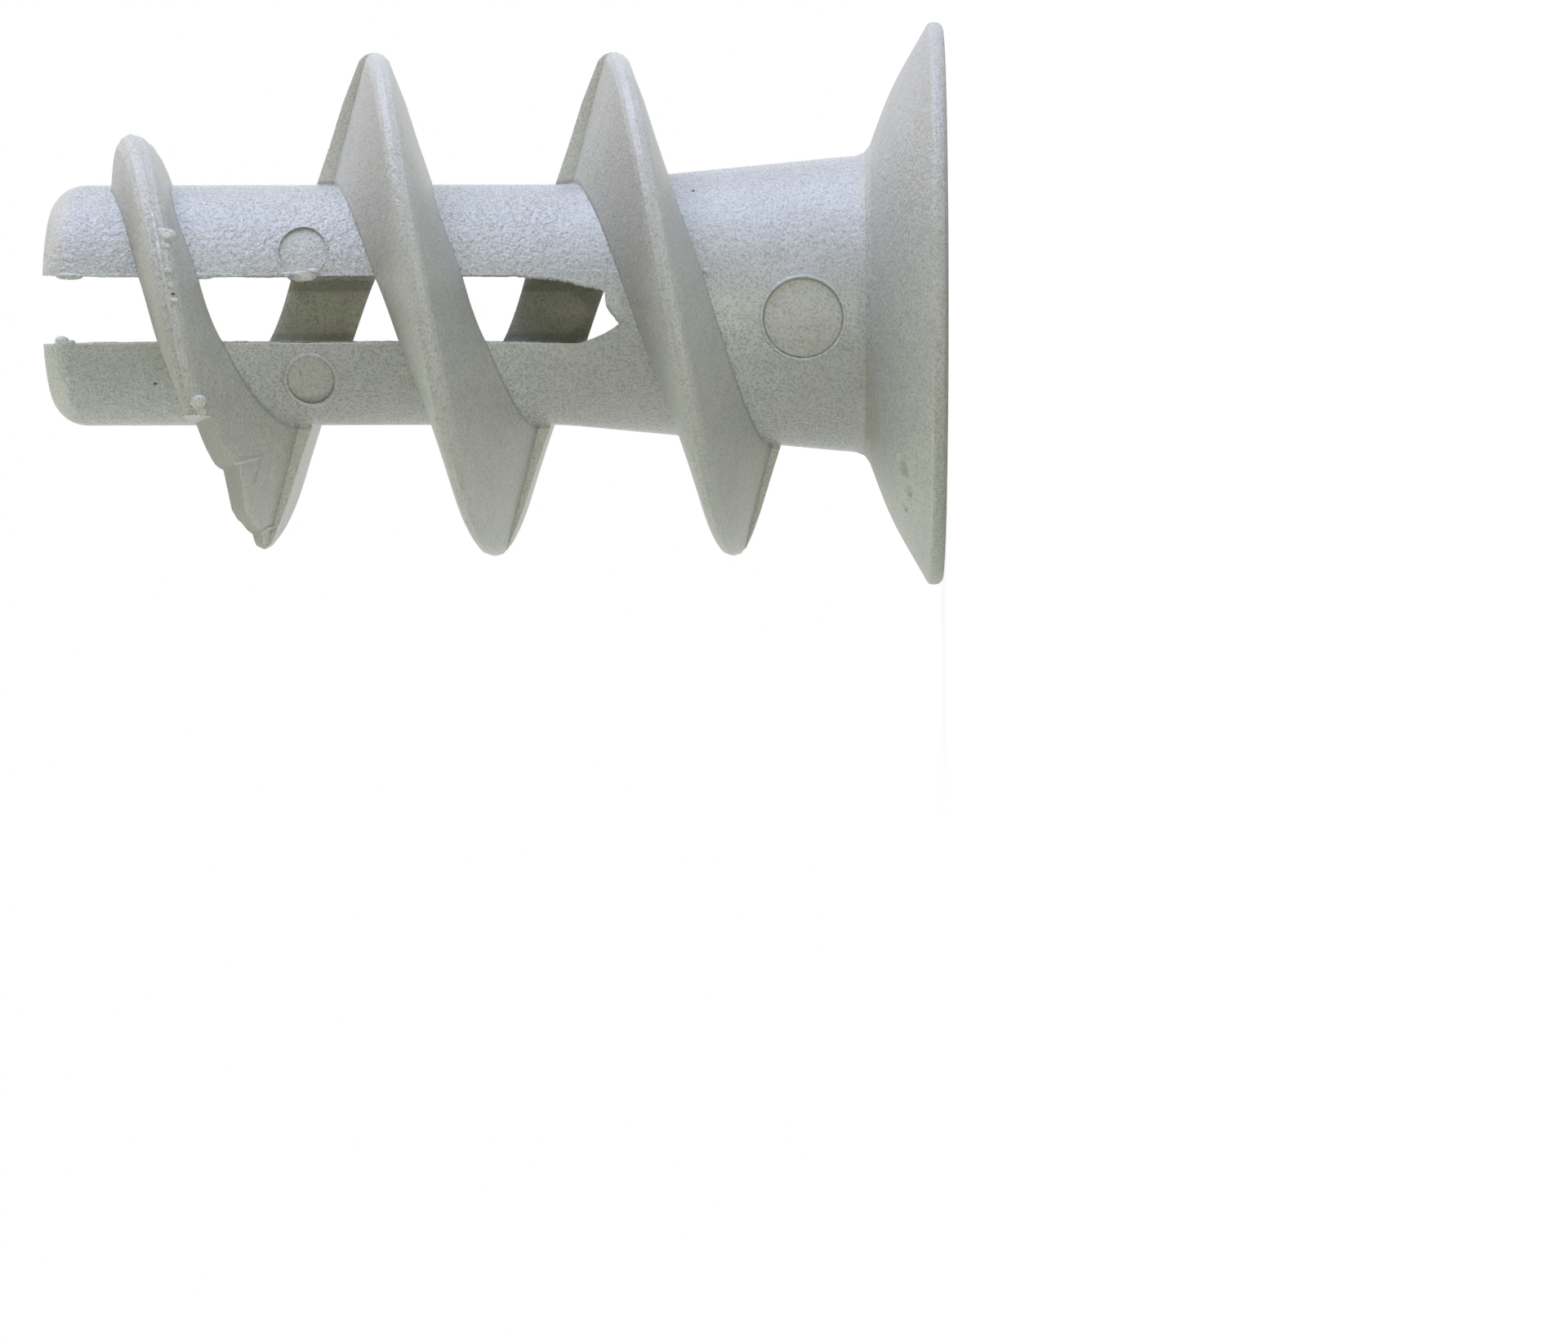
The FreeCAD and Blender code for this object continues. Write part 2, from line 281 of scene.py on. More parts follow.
def blank_radius(height):
    """Radius of the legs or the collar at a height: even on the legs, widening evenly down the collar."""
    share = np.clip((LEG_SHOULDER - height) / (LEG_SHOULDER - COLLAR_FOOT), 0.0, 1.0)
    return LEG_RADIUS + (COLLAR_RADIUS - LEG_RADIUS) * share


def on_skin(x, height, proud=0.0, face=-1):
    """Points of the legs or collar at a sideways place and a height, on the front (-1) or the back (1).

    The depth is the square root of the radius squared less the sideways place squared.
    """
    squared = (blank_radius(height) + proud) ** 2 - x ** 2
    depth = np.sqrt(np.maximum(squared, LEAST_DEPTH_SQUARED))
    return np.stack(np.broadcast_arrays(x, face * depth, height), -1)


def first_crest(turned, proud=0.0):
    """Points of the first turn's crest, by degrees turned from the thread's start (0 to 180).

    The radius grows from its start to the full one as half a cosine over 220 degrees.  The height
    falls by half a pitch over the half turn.  It is 0.2 more over the first 90 degrees, and that
    dies out as half a cosine over the next 90.
    """
    growth = (1 - np.cos(np.radians(turned) * 180 / CREST_GROWTH)) / 2
    radius = CREST_START_RADIUS + (CREST_FULL_RADIUS - CREST_START_RADIUS) * growth + proud
    share = np.clip((180 - turned) / 90, 0, 1)
    height = CREST_TWO_TURNS_ON + THREAD_PITCH * (2 - turned / 360)
    height = height + CREST_START_LIFT * (1 - np.cos(math.pi * share))
    around = np.radians(-turned)
    return np.stack(np.broadcast_arrays(radius * np.cos(around), radius * np.sin(around), height), -1)


def from_axis(points):
    """The level arrow from the anchor's axis to each point."""
    return np.array(points) * (1, 1, 0)


# ---------------------------------------------------------------- closed surfaces


def once_round(count):
    """So many angles, evenly spaced once round."""
    return np.linspace(0, 2 * math.pi, count, endpoint=False)


def sines(place, rows, seed):
    """A sum of sines of a place: strength * sin(rate * place + share * seed) for each row."""
    return sum(strength * np.sin(rate * place + share * seed) for strength, rate, share in rows)


def strips(here, after):
    """Two triangles for each corner number of a ring, its neighbour and the same two a ring on."""
    beside, after_beside = np.roll(here, -1, 1), np.roll(after, -1, 1)
    near = np.stack([here, beside, after_beside], -1)
    far = np.stack([here, after_beside, after], -1)
    return np.concatenate([near, far]).reshape(-1, 3)


def closed(rings):
    """Corners and triangles of a solid from rings of points, shaped (rings, points, 3).

    Neighbouring rings are joined all round, and each end ring is closed by a pole in its middle.
    """
    rows, columns = rings.shape[:2]
    number = np.arange(rows * columns).reshape(rows, columns)
    start, end = rows * columns, rows * columns + 1
    first = np.stack([np.full(columns, start), np.roll(number[0], -1), number[0]], -1)
    last = np.stack([np.full(columns, end), number[-1], np.roll(number[-1], -1)], -1)
    corners = np.concatenate([rings.reshape(-1, 3), rings[:1].mean(1), rings[-1:].mean(1)])
    return outward(corners, np.concatenate([strips(number[:-1], number[1:]), first, last]))


def hoop(rings):
    """Corners and triangles of a ring-shaped solid: the rings of points go all the way round."""
    rows, columns = rings.shape[:2]
    number = np.arange(rows * columns).reshape(rows, columns)
    return outward(rings.reshape(-1, 3), strips(number, np.roll(number, -1, 0)))


def outward(corners, triangles):
    """The same solid, with its triangles turned round where its signed volume is less than nothing.

    That volume is a sixth of the sum of a . (b x c) over the triangles, from the first corner.
    """
    a, b, c = (corners[triangles[:, i]] - corners[0] for i in range(3))
    if np.einsum("ij,ij->i", a, np.cross(b, c)).sum() < 0:
        triangles = triangles[:, ::-1]
    return corners, triangles


def mesh_of(name, solids, smooth=True):
    """One mesh, in metres, from several solids in millimetres."""
    starts = np.cumsum([0] + [len(corners) for corners, _ in solids])
    corners = np.concatenate([corners for corners, _ in solids]) * MM
    triangles = np.concatenate([faces + start for (_, faces), start in zip(solids, starts)])
    mesh = bpy.data.meshes.new(name)
    mesh.vertices.add(len(corners))
    mesh.vertices.foreach_set("co", corners.astype(np.float32).ravel())
    mesh.loops.add(triangles.size)
    mesh.loops.foreach_set("vertex_index", triangles.astype(np.int32).ravel())
    mesh.polygons.add(len(triangles))
    mesh.polygons.foreach_set("loop_start", np.arange(0, triangles.size, 3, dtype=np.int32))
    mesh.polygons.foreach_set("use_smooth", np.full(len(triangles), smooth))
    mesh.update(calc_edges=True)
    mesh.validate()
    return mesh


def lump(middle, size, outwards, along, seed, steps=(18, 26), wobble=0.14):
    """A small worn lump: a sphere stretched to size, whose radius waves with its two angles.

    radius = 1 + wobble sin(2 a + seed) cos(3 b + seed) + wobble / 3 sin(5 a - seed) sin(4 b), for
    longitude a and latitude b; size runs along, across and outwards.
    """
    outwards = np.array(outwards, float) / np.linalg.norm(outwards)
    along = np.array(along, float) - np.dot(along, outwards) * outwards
    along /= np.linalg.norm(along)
    across = np.cross(outwards, along)
    latitude = np.linspace(POLE_GAP, math.pi - POLE_GAP, steps[0])[:, None]
    longitude = once_round(steps[1])[None, :]
    radius = 1 + wobble * np.sin(2 * longitude + seed) * np.cos(3 * latitude + seed)
    radius = radius + wobble / 3 * np.sin(5 * longitude - seed) * np.sin(4 * latitude)
    flat = (radius * np.sin(latitude) * np.cos(longitude))[..., None] * along * size[0]
    wide = (radius * np.sin(latitude) * np.sin(longitude))[..., None] * across * size[1]
    high = (radius * np.cos(latitude))[..., None] * outwards * size[2]
    return closed(np.array(middle, float) + flat + wide + high)


def lip(path, stands, width, height, seed, columns=10, ragged=0.5):
    """A thin worn lip carried along a path: an oval section whose size waves along the path.

    At a share t of the path the height is height * fade(t) * (1 + ragged * waves(t)); waves is a sum
    of four sines of the length so far, and fade is the fourth root of sin(pi t), so that the lip
    dies out at its ends.  The width waves less, and a few points behind the height.
    """
    share = np.linspace(0, 1, len(path))
    forward = np.gradient(path, axis=0)
    forward /= np.linalg.norm(forward, axis=1)[:, None]
    stands = np.broadcast_to(np.array(stands, float), path.shape)
    stands = stands - (stands * forward).sum(1)[:, None] * forward
    stands = stands / np.linalg.norm(stands, axis=1)[:, None]
    side = np.cross(forward, stands)
    length = np.linalg.norm(np.diff(path, axis=0), axis=1).sum()
    waves = ragged * sines(share * length, LIP_WAVES, seed)
    fade = np.clip(np.sin(math.pi * share), 1e-3, 1) ** 0.25
    tall = height * fade * (1 + waves)
    broad = width * fade * (1 + WIDTH_WAVE_SHARE * np.roll(waves, WIDTH_WAVE_LAG))
    turn = once_round(columns)[None, :]
    up = (np.cos(turn) * tall[:, None])[..., None] * stands[:, None, :]
    sideways = (np.sin(turn) * broad[:, None])[..., None] * side[:, None, :]
    return closed(path[:, None, :] + up + sideways)


def burr(mark, width, height, seed, steps=(120, 10)):
    """A low worn ring round a pin mark, bent over the round skin that it stands on.

    For an angle a round the mark its middle lies at (x + r cos a, skin, z + r sin a), for r a little
    more than the mark's radius; its section is an oval whose height waves with a few sines of a.
    """
    x, z, radius = mark
    around = once_round(steps[0])[:, None]
    turn = once_round(steps[1])[None, :]
    reach = radius + width * (BURR_OUT + np.cos(turn))
    raised = height * (1 + sines(around, BURR_WAVES, seed)) * np.sin(turn)
    return hoop(on_skin(x + reach * np.cos(around), z + reach * np.sin(around), raised))


def slot_end_sheet(thickness, proud, steps=(220, 14)):
    """The thin sheet of flash that fills the upper corner of the slot's end, with a wavy free edge.

    Its free edge runs through the listed places, joined by straight runs and waved a little; from
    there it reaches into the slot's wall.  It follows the collar's skin.  Between its ends it is as
    proud as asked, by the square root of a sine of the height, and at them as much below the skin.
    Its back lies a thickness deeper.
    """
    edge = np.array(SHEET_EDGE)
    foot, top = edge[0, 0], edge[-1, 0]
    height = np.linspace(foot, top, steps[0])
    free = np.interp(height, edge[:, 0], edge[:, 1]) + sines(height, SHEET_WAVES, 1)
    inner = np.full_like(height, SLOT_RIGHT + SHEET_HOLD)
    across = np.linspace(0, 1, steps[1])[None, :]
    places = inner[:, None] + (free - inner)[:, None] * across
    fade = np.clip(np.sin(math.pi * (height - foot) / (top - foot)), 0.0, 1) ** 0.5
    outside = (proud * (2 * fade - 1))[:, None]
    depth, bulge = thickness * np.array(SHEET_RIM).T[:, None, :]
    front = on_skin(places, height[:, None], outside)
    rim = on_skin(free[:, None] - bulge, height[:, None], outside - depth)
    back = on_skin(places[:, ::-1], height[:, None], outside - thickness)
    return closed(np.concatenate([front, rim, back], 1))


# ---------------------------------------------------------------- nylon


class Nodes:
    """Adds nodes to a material or a world, and joins them."""

    def __init__(self, owner):
        owner.use_nodes = True
        self.tree = owner.node_tree
        self.tree.nodes.clear()
        self.count = 0

    def add(self, kind, inputs=None, **settings):
        """A node of a kind; each input takes a value, or another node's socket."""
        node = self.tree.nodes.new(kind)
        row, column = divmod(self.count, NODE_COLUMNS)
        node.location = (NODE_WIDTH * column, NODE_HEIGHT * row)
        self.count += 1
        for key, value in settings.items():
            setattr(node, key, value)
        for key, value in (inputs or {}).items():
            if isinstance(value, bpy.types.NodeSocket):
                self.tree.links.new(value, node.inputs[key])
            else:
                node.inputs[key].default_value = value
        return node

    def math(self, operation, first, second=0.0, third=0.0):
        """One step of arithmetic."""
        return self.add("ShaderNodeMath", {0: first, 1: second, 2: third}, operation=operation).outputs[0]

    def product(self, first, *others):
        """Several numbers multiplied."""
        for other in others:
            first = self.math("MULTIPLY", first, other)
        return first

    def plus(self, start, *shares):
        """A number, plus each other number times its share."""
        for value, share in shares:
            start = self.math("MULTIPLY_ADD", value, share, start)
        return start

    def length(self, arrow):
        """Length of an arrow."""
        return self.add("ShaderNodeVectorMath", {0: arrow}, operation="LENGTH").outputs["Value"]

    def mix(self, share, first, second, blend="MIX"):
        """A mix of two colours."""
        inputs = {0: share, 6: first, 7: second}
        return self.add("ShaderNodeMix", inputs, data_type="RGBA", blend_type=blend).outputs[2]

    def noise(self, place, grains, detail, rough, seed=0.0):
        """A noise with so many grains to the millimetre, around a half."""
        moved = self.add("ShaderNodeVectorMath", {0: place, 1: (seed, 2 * seed, -seed)}, operation="ADD")
        inputs = {"Vector": moved.outputs[0], "Scale": grains, "Detail": detail, "Roughness": rough}
        return self.add("ShaderNodeTexNoise", inputs).outputs[0]

    def step(self, value, low, high):
        """0 at low and 1 at high, eased in between."""
        node = self.add("ShaderNodeMapRange", {0: value, 1: low, 2: high}, interpolation_type="SMOOTHSTEP")
        return node.outputs[0]

    def within(self, value, low, high, ease):
        """1 between low and high, 0 outside, eased at both."""
        return self.product(self.step(value, low - ease, low), self.step(value, high + ease, high))

    def millimetres(self):
        """A point's place on the anchor, in millimetres."""
        metres = self.add("ShaderNodeTexCoord").outputs["Object"]
        return self.add("ShaderNodeVectorMath", {0: metres, "Scale": 1 / MM}, operation="SCALE").outputs[0]

    def backdrop_rays(self):
        """1 for the rays that show the background: straight, mirrored or let through."""
        path = self.add("ShaderNodeLightPath").outputs
        seen = self.math("MAXIMUM", path["Is Camera Ray"], path["Is Glossy Ray"])
        return self.math("MAXIMUM", seen, path["Is Transmission Ray"])


def spread(colour, strength=1.0):
    """A colour with its fourth number, brightened."""
    return (*[channel * strength for channel in colour], 1)


def regions(nodes, place):
    """Which part of the anchor a place is on: a number from 0 to 1 by the name of each part.

    skin: the round outside of legs and collar.  leg: the skin past the shoulder.  The full thread's
    crest has a mask of its own, for a painted highlight and less roughness.  inside: the walls of slot
    and round channel, which get painted light.  outer: the rest, which is mostly thread and flange.
    tip_side: the first turn's side towards the tips, both its flank and the trimmed wall, told by how
    far the surface faces up, which gets painted shade and more roughness.  dents, rings and root: the
    dents, and the painted shade at the pin marks' edges and along the thread's foot.
    """
    x, y, z = nodes.add("ShaderNodeSeparateXYZ", {0: place}).outputs
    radius = nodes.length(nodes.add("ShaderNodeCombineXYZ", {0: x, 1: y}).outputs[0])
    blank = {0: z, 1: LEG_SHOULDER, 2: COLLAR_FOOT, 3: LEG_RADIUS, 4: COLLAR_RADIUS}
    over_skin = nodes.math("SUBTRACT", radius, nodes.add("ShaderNodeMapRange", blank).outputs[0])
    skin = nodes.within(over_skin, -SKIN_REACH, SKIN_REACH, SKIN_EASE)
    skin = nodes.product(skin, nodes.step(z, *SKIN_UP_FROM))

    # The walls of slot and channel, which get painted light.
    beside_slot = nodes.math("ABSOLUTE", nodes.math("ADD", x, -(SLOT_LEFT + SLOT_RIGHT) / 2))
    in_slot = nodes.math("LESS_THAN", beside_slot, (SLOT_RIGHT - SLOT_LEFT) / 2 + SLOT_WALL)
    in_slot = nodes.product(in_slot, nodes.math("LESS_THAN", over_skin, SLOT_DEPTH))
    in_channel = nodes.math("LESS_THAN", radius, CHANNEL_RADIUS)
    in_channel = nodes.product(in_channel, nodes.math("LESS_THAN", z, CHANNEL_TOP))
    inside = nodes.math("MAXIMUM", in_slot, in_channel)
    inside = nodes.product(inside, nodes.math("GREATER_THAN", z, FLANGE_FACE))
    outer = nodes.math("SUBTRACT", nodes.math("SUBTRACT", 1.0, skin), inside)

    # The first turn's tip side, told by which way the surface faces, gets painted shade.
    normal = nodes.add("ShaderNodeNewGeometry").outputs["True Normal"]
    facing = nodes.add("ShaderNodeSeparateXYZ", {0: normal}).outputs["Z"]
    trimmed = nodes.product(nodes.step(facing, *TRIMMED_FACING), nodes.step(x, *TRIMMED_FROM))
    tip_side = nodes.product(
        nodes.math("MAXIMUM", trimmed, nodes.step(facing, *FLANK_FACING)),
        nodes.within(z, *TIP_SIDE_HEIGHTS, TIP_SIDE_EASE),
        nodes.step(radius, *TIP_SIDE_OUT_FROM),
        nodes.step(x, *TIP_SIDE_ALONG),
    )

    dents = 0.0
    for middle, reach in DENTS:
        away = nodes.add("ShaderNodeVectorMath", {0: place, 1: middle}, operation="DISTANCE").outputs["Value"]
        dents = nodes.math("ADD", dents, nodes.step(away, reach, DENT_MIDDLE * reach))

    # Painted shade in thin rings at the pin marks' edges.
    rings = 0.0
    for (across, height, reach), shade in zip(PIN_MARKS, PIN_SHADES):
        away = nodes.math("POWER", nodes.math("ADD", x, -across), 2.0)
        away = nodes.math("ADD", away, nodes.math("POWER", nodes.math("ADD", z, -height), 2.0))
        low, high = (reach + edge for edge in RING_BAND)
        rings = nodes.plus(rings, (nodes.within(nodes.math("SQRT", away), low, high, RING_EASE), shade))
    in_front = nodes.math("LESS_THAN", y, IN_FRONT_OF)
    # Painted shade along the thread's foot.
    root = nodes.within(over_skin, *ROOT_HEIGHTS, ROOT_EASE)

    return {
        "skin": skin,
        "leg": nodes.product(skin, nodes.step(z, *LEG_UP_FROM)),
        # The full thread's crest, for its painted highlight and lower roughness.
        "crest_sheen": nodes.product(nodes.step(radius, *CREST_SHEEN_OUT_FROM), nodes.step(z, *CREST_SHEEN_UP_FROM)),
        "inside": inside,
        "outer": nodes.math("MAXIMUM", outer, 0.0),
        "tip_side": tip_side,
        "dents": dents,
        "rings": nodes.product(rings, in_front, nodes.math("LESS_THAN", over_skin, RING_LIFT)),
        "root": nodes.product(root, nodes.step(z, *ROOT_UP_FROM)),
    }


def nylon(name, look, brightness=1.0, root_shade=0.0):
    """Moulded nylon, in millimetres of the anchor's own place.

    Colour: a fine light and dark grain, dull blotches and wide clouds; a tint for thread and flange;
    painted light, lighter and yellower, on the walls of slot and channel; painted shade on the first
    turn's tip side; a painted highlight along the full thread's crest, darker dents on the flange,
    painted shade in thin rings at the pin marks' edges and a faint line of painted shade along the
    thread's root.
    Relief: fine grain everywhere, and coarser spark-eroded grain that is strongest on the legs.
    Roughness: the fine grain's, less on crest and skin, more on the first turn's tip side.
    """
    material = bpy.data.materials.new(name)
    nodes = Nodes(material)
    place = nodes.millimetres()
    on = regions(nodes, place)
    fine = nodes.noise(place, look.fine_grains, detail=2.0, rough=0.6)
    coarse = nodes.noise(place, look.coarse_grains, detail=2.5, rough=0.55, seed=7.0)
    blotch = nodes.noise(place, look.blotch_grains, detail=3.0, rough=0.6, seed=3.0)
    cloud = nodes.noise(place, CLOUD_GRAINS, detail=2.0, rough=0.5, seed=11.0)

    grain = nodes.step(fine, *(NOISE_MIDDLE + share * look.grain_softness for share in GRAIN_BAND))
    colour = nodes.mix(grain, spread(look.deep_colour, brightness), spread(look.pale_colour, brightness))
    dull = nodes.product(nodes.step(blotch, *DULL_BAND), look.blotch_share)
    clouded = nodes.product(nodes.step(cloud, *CLOUD_BAND), CLOUD_SHARE)
    for share, blend, tint, strength in (
        (dull, "MIX", look.blotch_colour, brightness),
        (clouded, "MIX", look.cloud_colour, brightness),
        (on["outer"], "MULTIPLY", look.outer_tint, 1.0),
        # Painted light, lighter and yellower, on the walls of slot and channel.
        (nodes.product(on["inside"], INSIDE_SHARE), "MULTIPLY", look.inside_painted_light, 1.0),
        # Painted highlight along the full thread's crest.
        (nodes.product(on["crest_sheen"], CREST_HIGHLIGHT_SHARE), "MIX", look.pale_colour, CREST_HIGHLIGHT_STRENGTH * brightness),
        # Painted shade on the first turn's tip side.
        (on["tip_side"], "MULTIPLY", look.tip_side_painted_shade, 1.0),
        (nodes.product(on["dents"], DENT_SHARE), "MIX", look.deep_colour, DENT_STRENGTH),
        # Painted shade in thin rings at the pin marks' edges.
        (on["rings"], "MIX", look.deep_colour, RING_SHADE_STRENGTH),
        # Painted shade along the thread's root.
        (nodes.product(on["root"], root_shade), "MIX", look.deep_colour, ROOT_SHADE_STRENGTH),
    ):
        colour = nodes.mix(share, colour, spread(tint, strength), blend)

    smoothed = nodes.math("MULTIPLY_ADD", on["skin"], SKIN_FINE_LOSS, 1.0)
    worn = nodes.math("MULTIPLY_ADD", on["leg"], ERODED_MORE_ON_LEG, ERODED_ON_COLLAR)
    relief = nodes.plus(
        nodes.product(fine, look.fine_relief, smoothed),
        (nodes.product(nodes.step(coarse, *ERODED_BAND), worn), look.coarse_relief),
        (blotch, BLOTCH_RELIEF),
        (on["dents"], DENT_RELIEF),
    )
    bump = nodes.add("ShaderNodeBump", {"Height": relief, "Strength": 1.0, "Distance": MM})
    rough = nodes.plus(
        look.roughness - GRAIN_ROUGHNESS / 2,
        (fine, GRAIN_ROUGHNESS),
        (on["crest_sheen"], CREST_ROUGHNESS),
        (on["skin"], SKIN_ROUGHNESS),
        (on["tip_side"], TIP_SIDE_ROUGHNESS),
    )
    shader = nodes.add("ShaderNodeBsdfPrincipled", {
        "Base Color": colour,
        "Roughness": rough,
        "Normal": bump.outputs[0],
        "IOR": NYLON_IOR,
        "Subsurface Weight": look.translucency,
        "Subsurface Radius": SCATTER_TINT,
        "Subsurface Scale": SCATTER_DEPTH * MM,
    })
    nodes.add("ShaderNodeOutputMaterial", {"Surface": shader.outputs[0]})
    return material


def charred(name):
    """Dark grit caught in the nylon: brown, with paler spots and a fine relief."""
    material = bpy.data.materials.new(name)
    nodes = Nodes(material)
    grain = nodes.noise(nodes.millimetres(), GRIT_GRAINS, detail=2.0, rough=0.6)
    colour = nodes.mix(nodes.step(grain, *GRIT_BAND), GRIT_DARK, GRIT_PALE)
    bump = nodes.add("ShaderNodeBump", {"Height": grain, "Distance": GRIT_RELIEF * MM})
    shader = nodes.add("ShaderNodeBsdfPrincipled", {
        "Base Color": colour,
        "Roughness": GRIT_ROUGHNESS,
        "Normal": bump.outputs[0],
    })
    nodes.add("ShaderNodeOutputMaterial", {"Surface": shader.outputs[0]})
    return material


def add_piece(context, name, solids, material):
    """A new piece at the origin, held by the root body, with the given material in its one slot."""
    mesh = mesh_of(name, solids)
    mesh.materials.append(material)
    piece = bpy.data.objects.new(name, mesh)
    context.scene.collection.objects.link(piece)
    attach(piece, "root")


# ---------------------------------------------------------------- properties


class AnchorNylon(PropertyGroup):
    """Colour and grain of the moulded nylon."""

    deep_colour: FloatVectorProperty(
        name="Deep grain", description="Colour at the bottom of the grain", subtype="COLOR",
        size=3, default=(0.41, 0.425, 0.40), min=0, max=1,
    )
    pale_colour: FloatVectorProperty(
        name="Pale grain", description="Colour on top of the grain", subtype="COLOR",
        size=3, default=(0.66, 0.675, 0.655), min=0, max=1,
    )
    blotch_colour: FloatVectorProperty(
        name="Blotches", description="Colour of the small dull blotches", subtype="COLOR",
        size=3, default=(0.46, 0.47, 0.44), min=0, max=1,
    )
    cloud_colour: FloatVectorProperty(
        name="Clouds", description="Colour of the wide, faint clouds", subtype="COLOR",
        size=3, default=(0.63, 0.64, 0.60), min=0, max=1,
    )
    # Painted light: lightens and yellows the walls of slot and channel.
    inside_painted_light: FloatVectorProperty(
        name="Core walls", description="Tint of the walls that the mould's core left", subtype="COLOR",
        size=3, default=(1.14, 1.10, 0.90), min=0, max=1.5,
    )
    # Painted shade: darkens the first turn's tip side.
    tip_side_painted_shade: FloatVectorProperty(
        name="First turn's tip side", description="Tint of the first turn's dull tip side", subtype="COLOR",
        size=3, default=(0.76, 0.74, 0.74), min=0, max=1.5,
    )
    outer_tint: FloatVectorProperty(
        name="Thread and flange", description="Tint of the thread and the flange", subtype="COLOR",
        size=3, default=(1.02, 1.0, 0.955), min=0, max=1.5,
    )
    fine_grains: FloatProperty(
        name="Fine grains", description="Fine grains to the millimetre", default=16.0, min=1, max=60,
    )
    coarse_grains: FloatProperty(
        name="Eroded grains", description="Spark-eroded grains to the millimetre", default=6.5,
        min=0.5, max=30,
    )
    blotch_grains: FloatProperty(
        name="Blotch grains", description="Dull blotches to the millimetre", default=2.2, min=0.1, max=10,
    )
    grain_softness: FloatProperty(
        name="Grain softness", description="Width of the step between deep and pale grain", default=0.13,
        min=0.01, max=0.5, subtype="FACTOR",
    )
    blotch_share: FloatProperty(
        name="Blotch share", description="How much of a blotch covers the grain", default=0.30,
        min=0, max=1, subtype="FACTOR",
    )
    fine_relief: FloatProperty(
        name="Fine relief", description="Height of the fine grain in millimetres", default=0.017,
        min=0, max=0.1,
    )
    coarse_relief: FloatProperty(
        name="Eroded relief", description="Height of the eroded grain in millimetres", default=0.022,
        min=0, max=0.1,
    )
    roughness: FloatProperty(
        name="Roughness", description="Roughness of the skin", default=0.42, min=0, max=1, subtype="FACTOR",
    )
    translucency: FloatProperty(
        name="Translucency", description="Share of light that goes through the skin", default=0.25,
        min=0, max=1, subtype="FACTOR",
    )


class AnchorFlash(PropertyGroup):
    """Sizes of the lips, sheets, burrs and lumps that the mould left."""

    lip_height: FloatProperty(
        name="Lip height", description="How far a slot lip stands out, in millimetres", default=0.045,
        min=0.005, max=0.5,
    )
    lip_width: FloatProperty(
        name="Lip width", description="Half thickness of a slot lip, in millimetres", default=0.022,
        min=0.005, max=0.5,
    )
    sheet_thickness: FloatProperty(
        name="Sheet thickness", description="Thickness of the flash at the slot's end, in millimetres",
        default=0.16, min=0.02, max=0.5,
    )
    burr_height: FloatProperty(
        name="Burr height", description="Height of the ring round a pin mark, in millimetres",
        default=0.024, min=0.002, max=0.2,
    )
    burr_width: FloatProperty(
        name="Burr width", description="Half width of the ring round a pin mark, in millimetres",
        default=0.028, min=0.002, max=0.2,
    )


class AnchorStudio(PropertyGroup):
    """Camera, lights and surround."""

    distance: FloatProperty(
        name="Camera distance", description="From the camera to the anchor's axis", unit="LENGTH",
        default=0.150, min=0.05, max=2,
    )
    lens: FloatProperty(
        name="Lens", description="Focal length in millimetres", default=139.50, min=10, max=400,
    )
    level: FloatProperty(
        name="Lamp level", description="Multiplies the power of every lamp", default=1.0, min=0, max=10,
    )
    surround: FloatProperty(
        name="Surround", description="Brightness of the even surround", default=0.03, min=0, max=2,
    )


# ---------------------------------------------------------------- pieces


class ANCHOR_OT_body(Operator):
    """Gives the moulded body its grained nylon skin"""

    bl_idname = "anchor.body"
    bl_label = "Nylon body"

    def execute(self, context):
        skin = nylon("nylon_skin", context.scene.anchor_nylon, root_shade=ROOT_SHADE)
        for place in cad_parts[BODY].material_slots:
            place.material = skin
        return {"FINISHED"}


class ANCHOR_OT_slot_lips(Operator):
    """Worn lips of flash along the edges of the slot, and a few thicker lumps on them"""

    bl_idname = "anchor.slot_lips"
    bl_label = "Slot lips"

    def execute(self, context):
        size = context.scene.anchor_flash
        solids = []
        for x, face, low, high, share, seed in SLOT_LIPS:
            path = on_skin(x, np.linspace(low, high, int((high - low) * LIP_POINTS_PER_MM)), LIP_SINK, face)
            stands = (-math.copysign(1, x), LIP_LEAN * face, 0)
            solids.append(lip(path, stands, size.lip_width, size.lip_height * share, seed))
        for x, z, along, across, high, seed in SLOT_LUMPS:
            middle = on_skin(x, z, LUMP_SINK)
            solids.append(lump(middle, (along, across, high), (LUMP_LEAN * x, -1, 0), UPWARDS, seed))
        # A painted highlight makes the lips and lumps lighter.
        material = nylon("nylon_lip", context.scene.anchor_nylon, LIP_PAINTED_HIGHLIGHT)
        add_piece(context, "slot_lips", solids, material)
        return {"FINISHED"}


class ANCHOR_OT_slot_end(Operator):
    """The wavy sheet of flash at the end of the slot, in front"""

    bl_idname = "anchor.slot_end"
    bl_label = "Flash at the slot's end"

    def execute(self, context):
        solids = [slot_end_sheet(context.scene.anchor_flash.sheet_thickness, SHEET_PROUD)]
        add_piece(context, "slot_end_flash", solids, nylon("nylon_flash", context.scene.anchor_nylon))
        return {"FINISHED"}


